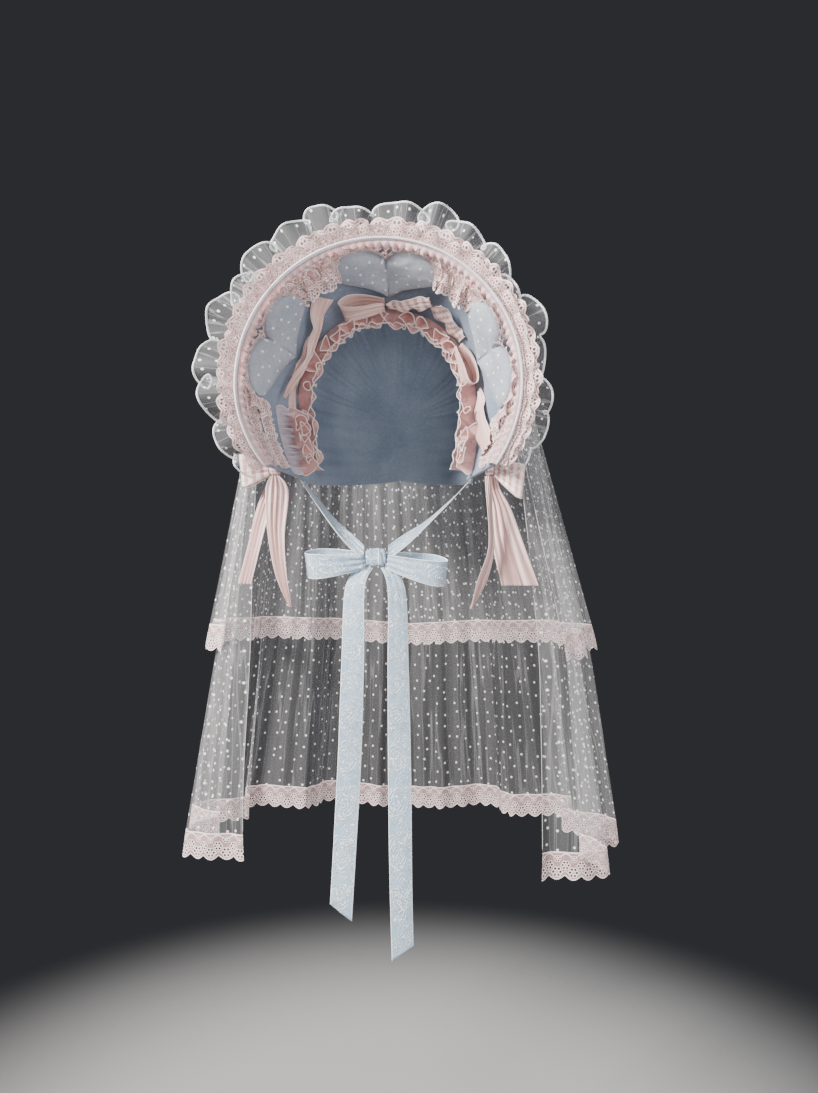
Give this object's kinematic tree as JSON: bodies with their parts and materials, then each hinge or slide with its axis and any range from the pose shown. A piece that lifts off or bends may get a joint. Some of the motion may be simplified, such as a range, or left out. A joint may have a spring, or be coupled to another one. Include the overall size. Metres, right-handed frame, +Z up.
{
  "type": "lace-trimmed bonnet with veil",
  "caption": "Flared cloth bonnet with lace and tulle ruffles, padded hearts, ribbon bows, a two-tier sheer veil and satin ties under the chin.",
  "frame": {"origin": "the crown's inner top, on the middle plane, where the bonnet rests on the head", "axes": "+Z up, the wearer faces -Y, +X is the wearer's left"},
  "size_m": [0.4678, 0.3307, 0.7336],
  "materials": {
    "blue_cloth": "matt pale blue cotton",
    "blue_satin": "satin with a woven scroll figure",
    "white_tulle": "sheer dotted tulle",
    "white_cord": "white piping cord",
    "pink_lace": "pale pink cotton lace",
    "pink_organza": "sheer pink organza",
    "pink_satin": "dusty pink checked satin ribbon"
  },
  "bodies": {
    "root": {"crown": "blue_cloth", "brim": "blue_cloth", "brim_piping": "white_cord", "brim_inner_trim": "pink_organza", "lace_ruffle": "pink_lace", "tulle_ruffle": "white_tulle", "face_ruffle": "pink_organza", "heart_top": "blue_cloth", "heart_left": "blue_cloth", "heart_right": "blue_cloth", "heart_lace_top": "pink_lace", "heart_lace_left": "pink_lace", "heart_lace_right": "pink_lace", "garland_left": "pink_satin", "garland_left_under": "pink_satin", "garland_band": "pink_satin", "garland_right": "pink_satin", "garland_right_tail": "pink_satin", "garland_loop_top": "pink_satin", "garland_loop_right": "pink_satin", "side_bow_left_knot": "pink_satin", "side_bow_left_loop": "pink_satin", "side_bow_left_tail_long": "pink_satin", "side_bow_left_tail_short": "pink_satin", "side_bow_right_knot": "pink_satin", "side_bow_right_loop": "pink_satin", "side_bow_right_tail_thin": "pink_satin", "side_bow_right_tail_broad": "pink_satin", "tie_knot": "blue_satin", "tie_strap_left": "blue_satin", "tie_strap_right": "blue_satin", "tie_loop_left": "blue_satin", "tie_loop_right": "blue_satin", "tie_tail_left": "blue_satin", "tie_tail_right": "blue_satin", "veil_upper": "white_tulle", "veil_upper_lace": "pink_lace", "veil_lower": "white_tulle", "veil_lower_lace": "pink_lace"}
  },
  "joints": []
}
